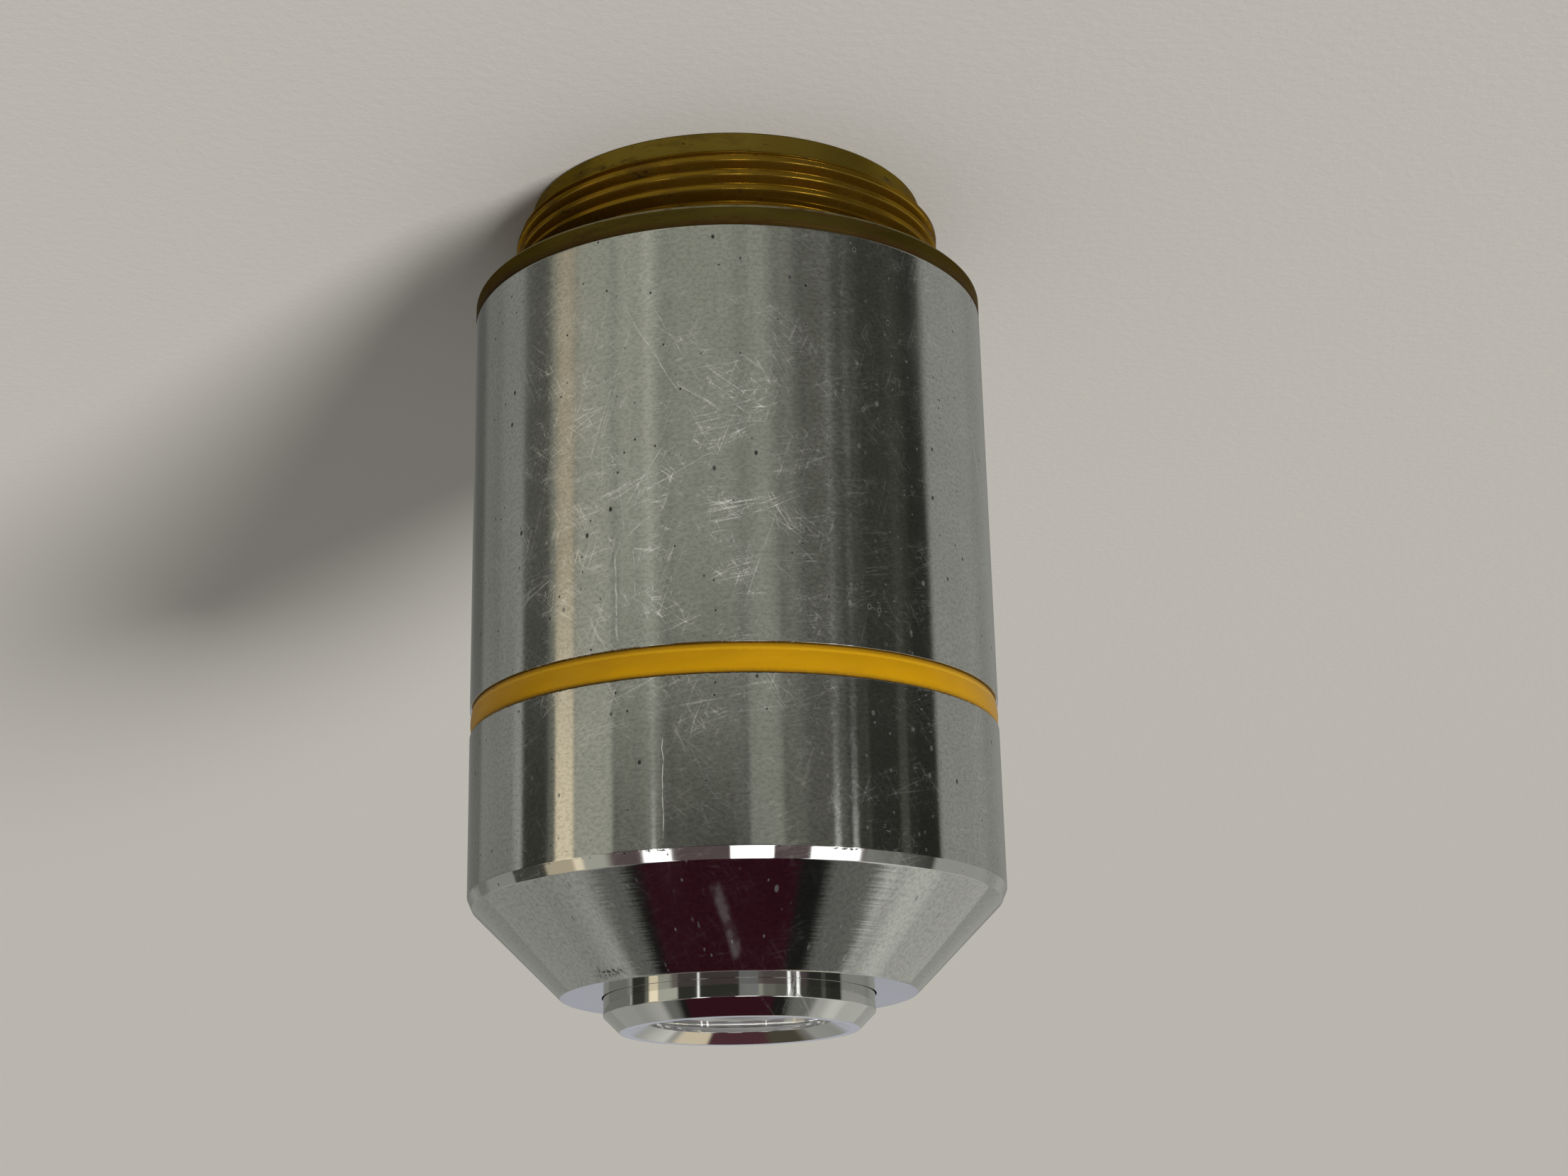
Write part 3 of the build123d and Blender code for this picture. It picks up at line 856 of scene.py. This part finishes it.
class OBJECTIVE_OT_make_band(Operator):
    """Lays the enamel band in its groove"""

    bl_idname = "objective.make_band"
    bl_label = "Make Colour Band"

    def execute(self, context):
        s = context.scene.objective_sizes
        groove_r = BARREL_R - s.groove_depth
        middle, half = (BAND_LOW + BAND_HIGH) / 2, (BAND_HIGH - BAND_LOW) / 2
        steps = 16
        face = [-1 + 2 * step / steps for step in range(steps + 1)]
        profile = [Vector((BAND_R + s.enamel_crown * (1 - t * t), middle + half * t)) for t in face]
        profile += [Vector((groove_r, BAND_HIGH)), Vector((groove_r, BAND_LOW))]
        piece = lathe("enamel_band", profile, s.segments)
        seat(piece, "colour_band", yellow_enamel(context.scene.objective_finish))
        return {"FINISHED"}


class OBJECTIVE_OT_make_nose(Operator):
    """Turns the polished nose with its dished mouth"""

    bl_idname = "objective.make_nose"
    bl_label = "Make Nose"

    def execute(self, context):
        s = context.scene.objective_sizes
        bore_r = s.nose_r - s.nose_wall
        mouth_r = bore_r - s.mouth_lip
        face_r = s.nose_r - s.nose_chamfer
        seat_z = NOSE_HIGH - s.mouth_lip_height
        fine, broad = s.fine_round, s.edge_round
        soft = 1.6 * broad
        corners = [
            (bore_r, NOSE_LOW, fine),
            (NOSE_FLANGE_R, NOSE_LOW, broad),
            (NOSE_FLANGE_R, NOSE_LOW + s.nose_flange, fine),
            (s.nose_r, NOSE_LOW + s.nose_flange, fine),
            (s.nose_r, NOSE_HIGH - s.nose_chamfer, soft),
            (face_r, NOSE_HIGH, soft),
            (face_r - s.nose_land, NOSE_HIGH, broad),
            (mouth_r, NOSE_HIGH - s.dish_depth, fine),
            (mouth_r, seat_z, fine),
            (bore_r, seat_z, fine),
        ]
        piece = lathe("polished_nose", rounded(corners), s.segments)
        seat(piece, "front_cell", polished_chrome(context.scene.objective_finish))
        return {"FINISHED"}


class OBJECTIVE_OT_finish_train(Operator):
    """Gives the lens train inside its finishes"""

    bl_idname = "objective.finish_train"
    bl_label = "Finish Lens Train"

    def execute(self, context):
        colours = context.scene.objective_finish
        finishes = {
            "tube_brass": turned_metal("tube_brass", colours.brass, roughness=0.3),
            "screw_steel": turned_metal("screw_steel", colours.steel, roughness=0.3),
            "black_brass": blackened_brass(colours),
            "front_glass": lens_glass("front_glass", colours, index=1.62, haze=1.0),
            "crown_glass": lens_glass("crown_glass", colours, index=1.52),
            "flint_glass": lens_glass("flint_glass", colours, index=1.65),
        }
        for node, piece in frame["nodes"].items():
            if SLOT_OF_NODE[node] in finishes:
                for material_slot in piece.material_slots:
                    material_slot.material = finishes[SLOT_OF_NODE[node]]
        return {"FINISHED"}


# Stage

# The room that the metal mirrors. Tints of what stands in it:
GREEN_GREY = (1.0, 1.01, 0.83)
COOL_GREY = (1.0, 1.0, 0.91)
WARM = (1.0, 0.87, 0.62)
PLUM = (1.0, 0.22, 0.38)
PALE_PLUM = (1.0, 0.4, 0.49)
WHITE = (1.0, 1.0, 0.97)
BROWN = (1.0, 0.74, 0.74)
PALE_BLUE = (1.0, 1.02, 1.12)
# Tint of the even light
DAYLIGHT = (1.0, 0.985, 0.955)
# Walls and furniture, by bearing in degrees from the camera's side towards the right of the picture:
# (from, to, softness of its ends and level near the horizon, the same two further down, tint).
# The first row lies under all the others.
WALLS = (
    (-190, -138, 8, 0.18, 8, 0.12, COOL_GREY),
    (-138, -106, 8, 0.29, 8, 0.30, COOL_GREY),
    (-138, -120, 8, 0.29, 8, 0.23, COOL_GREY),
    (-108, -101, 3, 0.43, 8, 0.33, COOL_GREY),
    (-101, -85, 4, 0.043, 6, 0.13, GREEN_GREY),
    (-85, -81, 3, 0.16, 4, 0.30, GREEN_GREY),
    (-81, -71, 2, 1.10, 4, 0.50, WARM),
    (-71, -52, 3, 0.48, 6, 0.43, GREEN_GREY),
    (-52, -41, 4, 0.195, 10, 0.50, GREEN_GREY),
    (-41, -30, 4, 0.24, 14, 0.60, GREEN_GREY),
    (-30, 6, 5, 0.09, 16, 0.41, GREEN_GREY),
    (6, 20, 2, 0.325, 12, 0.385, GREEN_GREY),
    (20, 30, 5, 0.165, 10, 0.26, GREEN_GREY),
    (30, 47, 4, 0.125, 10, 0.155, GREEN_GREY),
    (47, 57, 3, 0.056, 8, 0.085, GREEN_GREY),
    (57, 94, 3, 0.035, 6, 0.062, GREEN_GREY),
    (72.5, 77, 1.5, 0.092, 4, 0.074, GREEN_GREY),
    (82, 94, 3, 0.03, 4, 0.038, GREEN_GREY),
    (95, 190, 4, 0.365, 5, 0.37, COOL_GREY),
    (132, 190, 12, 0.31, 12, 0.315, COOL_GREY),
)
# Level and tint of the rest of the room
BEHIND = (0.23, COOL_GREY)
FRONT_ABOVE = (0.115, BROWN)
BACK_ABOVE = (0.43, PALE_BLUE)
BACK_LEFT = (0.31, COOL_GREY)
BACK_RIGHT = (0.385, COOL_GREY)
OVERHEAD_LEFT = (0.365, COOL_GREY)
OVERHEAD_RIGHT = (0.72, COOL_GREY)
# Where each begins and is full: heights in degrees, or bearings to either side, or both
BELOW_HEIGHTS = (-11.5, -18.5)
OVERHEAD_HEIGHTS = (18, 50)
HANGING_HEIGHTS = (42, 52)
FRONT_TOP = (54, 44)
BEHIND_BEARINGS = (152, 176)
BACK_SIDES_PLACE = (-5, 2), (134, 148)
BACK_ABOVE_PLACE = (0, 6), (164, 173)
FRONT_PLACE = (0, 12), (62, 56)
# Dark things that hang over the object, the last one a cloth, by the angle in degrees towards the left
# of the picture: (from, to, softness of its ends, level, tint)
HANGINGS = (
    (-35, 34.5, 4, 0.17, COOL_GREY),
    (-23.5, 28, 4, 0.013, COOL_GREY),
    (-16, 24.5, 3, 0.039, PLUM),
)
# The same behind the object's axis, as its dished mouth shows it, and how far back they begin
BACK_HANGINGS = (
    (-40, 40, 6, 0.46, COOL_GREY),
    (-10, 19, 4, 0.085, WARM),
    (-10, 9, 3, 0.09, PALE_PLUM),
    (-17.5, -10, 1.5, 0.75, WARM),
)
BACK_HANGING_DEPTHS = (0.16, 0.24)
# Lamps and pale panels, and what hides some of them: (bearing from, to, height from, to, level, tint)
LAMPS = (
    (-52, 0, -9.8, 8, 0.034, GREEN_GREY),
    (-140, -104, -9.8, 8, 0.19, COOL_GREY),
    (0, 16, -9.2, 24, 0.21, WHITE),
    (-34.9, -33.1, -8.8, 24, 1.4, WHITE),
    (40.8, 43.2, -8.8, 24, 2.0, WHITE),
    (48.8, 51.2, -8.8, 24, 2.0, WHITE),
    (-91, -76, 13, 34, 0.52, WARM),
    (-110, -91, 13, 34, 0.06, GREEN_GREY),
    (-150, -114, 17, 38, 0.37, COOL_GREY),
    (112, 150, 17, 38, 0.52, COOL_GREY),
    (-43, -30, 24, 50, 2.0, WHITE),
    (-3, 17, 24, 50, 2.0, WHITE),
    (34, 57, 24, 50, 2.0, WHITE),
)
# Softness of their ends along bearings and along heights
LAMP_SOFTNESS = (1.0, 1.4)


def surroundings(wire, direction):
    """What the metal reflects, by direction."""
    x, y, z = direction.split()
    bearing = wire.math("ARCTAN2", 0 - x, 0 - y) * math.degrees(1)
    height = z.through("ARCSINE") * math.degrees(1)
    aside = x.through("ARCSINE") * math.degrees(1)
    either_side = abs(bearing)

    def within(value, low, high, soft):
        return value.ramp(low - soft / 2, low + soft / 2) * value.ramp(high + soft / 2, high - soft / 2)

    def place(heights, bearings):
        return height.ramp(*heights) * either_side.ramp(*bearings)

    _, _, _, level, _, level_below, tint = WALLS[0]
    near, below = shade(level, tint), shade(level_below, tint)
    for start, end, soft, level, soft_below, level_below, tint in WALLS[1:]:
        near = within(bearing, start, end, soft).mix(near, shade(level, tint))
        below = within(bearing, start, end, soft_below).mix(below, shade(level_below, tint))
    behind = either_side.ramp(*BEHIND_BEARINGS)
    near, below = (behind.mix(part, shade(*BEHIND)) for part in (near, below))
    seen = height.ramp(*BELOW_HEIGHTS).mix(near, below)

    sides = x.ramp(0.1, -0.1).mix(shade(*BACK_LEFT), shade(*BACK_RIGHT))
    seen = place(*BACK_SIDES_PLACE).mix(seen, sides)
    seen = place(*BACK_ABOVE_PLACE).mix(seen, shade(*BACK_ABOVE))
    overhead = x.ramp(0.2, -0.2).mix(shade(*OVERHEAD_LEFT), shade(*OVERHEAD_RIGHT))
    seen = height.ramp(*OVERHEAD_HEIGHTS).mix(seen, overhead)
    seen = (place(*FRONT_PLACE) * height.ramp(*FRONT_TOP)).mix(seen, shade(*FRONT_ABOVE))

    over = height.ramp(*HANGING_HEIGHTS)
    over_back = over * y.ramp(*BACK_HANGING_DEPTHS)
    for rows, where in ((HANGINGS, over), (BACK_HANGINGS, over_back)):
        for start, end, soft, level, tint in rows:
            seen = (where * within(aside, start, end, soft)).mix(seen, shade(level, tint))
    wide, tall = LAMP_SOFTNESS
    for start, end, low, high, level, tint in LAMPS:
        lit = within(bearing, start, end, wide) * within(height, low, high, tall)
        seen = lit.mix(seen, shade(level, tint))
    return seen


# In millimetres, as the focal length
SENSOR_WIDTH = 36.0


class OBJECTIVE_OT_set_stage(Operator):
    """Lays the pale floor and sets the light and the camera"""

    bl_idname = "objective.set_stage"
    bl_label = "Set Stage"

    def execute(self, context):
        scene = context.scene
        scene.view_settings.view_transform = "Standard"
        floor = self.lay_floor(scene.objective_stage, scene.objective_finish)
        self.light(scene, floor)
        self.place_camera(scene)
        return {"FINISHED"}

    def lay_floor(self, stage, colours):
        half = stage.floor_size / 2
        mesh = bpy.data.meshes.new("floor")
        corners = [(-half, -half, 0), (half, -half, 0), (half, half, 0), (-half, half, 0)]
        mesh.from_pydata(corners, [], [(0, 1, 2, 3)])
        floor = bpy.data.objects.new("floor", mesh)
        bpy.context.scene.collection.objects.link(floor)
        paper = Finish("pale_paper")
        wire = paper.wire
        grain = paper.place.noise((0.5, 0.5, 0.5), 4.0, 0.65)
        sheet = wire.node(
            "ShaderNodeBsdfPrincipled",
            inputs={
                "Base Color": grain.mix(shade(0.96, colours.paper), colours.paper),
                "Roughness": 0.9,
                "Specular IOR Level": 0.1,
                "Normal": paper.bump(grain, 0.05, 0.3),
            },
        )
        # The metal mirrors the room and not the paper, and a camera under the floor sees through it
        path = wire.node("ShaderNodeLightPath")
        from_below = wire.node("ShaderNodeNewGeometry", output="Backfacing")
        mirrored, direct = path.output("Is Glossy Ray"), path.output("Is Camera Ray")
        unseen = wire.math("MAXIMUM", mirrored, from_below * direct)
        clear = wire.node("ShaderNodeBsdfTransparent")
        shown = wire.node("ShaderNodeMixShader", inputs={0: unseen, 1: sheet, 2: clear})
        wire.node("ShaderNodeOutputMaterial", inputs={"Surface": shown})
        floor.data.materials.append(paper.material)
        floor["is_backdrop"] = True
        return floor

    def light(self, scene, floor):
        stage = scene.objective_stage
        world = bpy.data.worlds.new("studio")
        world.use_nodes = True
        world.node_tree.nodes.clear()
        world.cycles.sampling_method = "NONE"
        wire = Wire(world.node_tree)
        direction = wire.node("ShaderNodeTexCoord", output="Generated")
        glossy = wire.node("ShaderNodeLightPath", output="Is Glossy Ray")
        even = shade(stage.ambient, DAYLIGHT)
        plain = wire.node("ShaderNodeBackground", inputs={"Color": opaque(even)})
        room = wire.node("ShaderNodeBackground", inputs={"Color": surroundings(wire, direction)})
        shown = wire.node("ShaderNodeMixShader", inputs={0: glossy, 1: plain, 2: room})
        wire.node("ShaderNodeOutputWorld", inputs={"Surface": shown})
        scene.world = world
        ground = bpy.data.collections.new("ground")
        ground.objects.link(floor)
        dressed = bpy.data.collections.new("dressed")
        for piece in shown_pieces():
            dressed.objects.link(piece)
        mount = bpy.data.collections.new("mount")
        mount.objects.link(bpy.data.objects["turned_mount"])
        # Suns: bearing towards the right, height and spread in degrees, strength, what each lights, and
        # whether the metal mirrors it
        for name, bearing, height, spread, power, lit, mirrored in (
            ("shadow_lamp", 32, 20, 20, stage.shadow_lamp, ground, False),
            ("front_lamp", 34, 28, 35, stage.front_lamp, dressed, False),
            ("middle_glint", 8, 16, 8, stage.glint, mount, True),
            ("near_right_glint", 40, 16, 2, stage.glint, mount, True),
            ("far_right_glint", 49, 16, 2, stage.glint, mount, True),
        ):
            light = bpy.data.lights.new(name, "SUN")
            light.angle = math.radians(spread)
            light.energy = power
            lamp = bpy.data.objects.new(name, light)
            scene.collection.objects.link(lamp)
            lamp.rotation_euler = (math.radians(90 - height), 0, -math.radians(bearing))
            lamp.visible_glossy = mirrored
            lamp.light_linking.receiver_collection = lit

    def place_camera(self, scene):
        stage = scene.objective_stage
        pitch, yaw, roll = stage.camera_turn
        upside_down = Matrix(((-1, 0, 0), (0, 0, 1), (0, 1, 0)))
        turned = Matrix.Rotation(roll, 3, "Z") @ Matrix.Rotation(yaw, 3, "Y")
        right, down, forward = turned @ Matrix.Rotation(pitch, 3, "X") @ upside_down
        camera = bpy.data.objects.new("camera", bpy.data.cameras.new("camera"))
        scene.collection.objects.link(camera)
        axes = Matrix((right, -down, -forward)).transposed()
        camera.matrix_world = Matrix.Translation(stage.camera_place) @ axes.to_4x4()
        camera.data.sensor_fit = "HORIZONTAL"
        camera.data.sensor_width = SENSOR_WIDTH
        camera.data.lens = stage.camera_lens
        camera.data.clip_start = 1 * MM
        scene.camera = camera


class OBJECTIVE_PT_sidebar(Panel):
    """Lists the pieces and the stage in the 3D view's sidebar"""

    bl_idname = "OBJECTIVE_PT_sidebar"
    bl_label = "Objective"
    bl_space_type = "VIEW_3D"
    bl_region_type = "UI"
    bl_category = "Objective"

    def draw(self, context):
        for operator in OPERATORS:
            self.layout.operator(operator.bl_idname)
        for name in PROPERTY_GROUPS:
            group = getattr(context.scene, name)
            box = self.layout.box()
            for key in group.__annotations__:
                box.prop(group, key)


OPERATORS = (
    OBJECTIVE_OT_make_mount,
    OBJECTIVE_OT_make_sleeve,
    OBJECTIVE_OT_make_band,
    OBJECTIVE_OT_make_nose,
    OBJECTIVE_OT_finish_train,
    OBJECTIVE_OT_set_stage,
)
PROPERTY_GROUPS = {
    "objective_sizes": OBJECTIVE_PG_sizes,
    "objective_finish": OBJECTIVE_PG_finish,
    "objective_stage": OBJECTIVE_PG_stage,
}
CLASSES = (*PROPERTY_GROUPS.values(), *OPERATORS, OBJECTIVE_PT_sidebar)


def register():
    for cls in CLASSES:
        bpy.utils.register_class(cls)
    for name, group in PROPERTY_GROUPS.items():
        setattr(bpy.types.Scene, name, PointerProperty(type=group))


def unregister():
    for name in PROPERTY_GROUPS:
        delattr(bpy.types.Scene, name)
    for cls in reversed(CLASSES):
        bpy.utils.unregister_class(cls)


def main():
    register()
    bpy.ops.objective.make_mount()
    bpy.ops.objective.make_sleeve()
    bpy.ops.objective.make_band()
    bpy.ops.objective.make_nose()
    bpy.ops.objective.finish_train()
    bpy.ops.objective.set_stage()


if __name__ == "__main__":
    main()
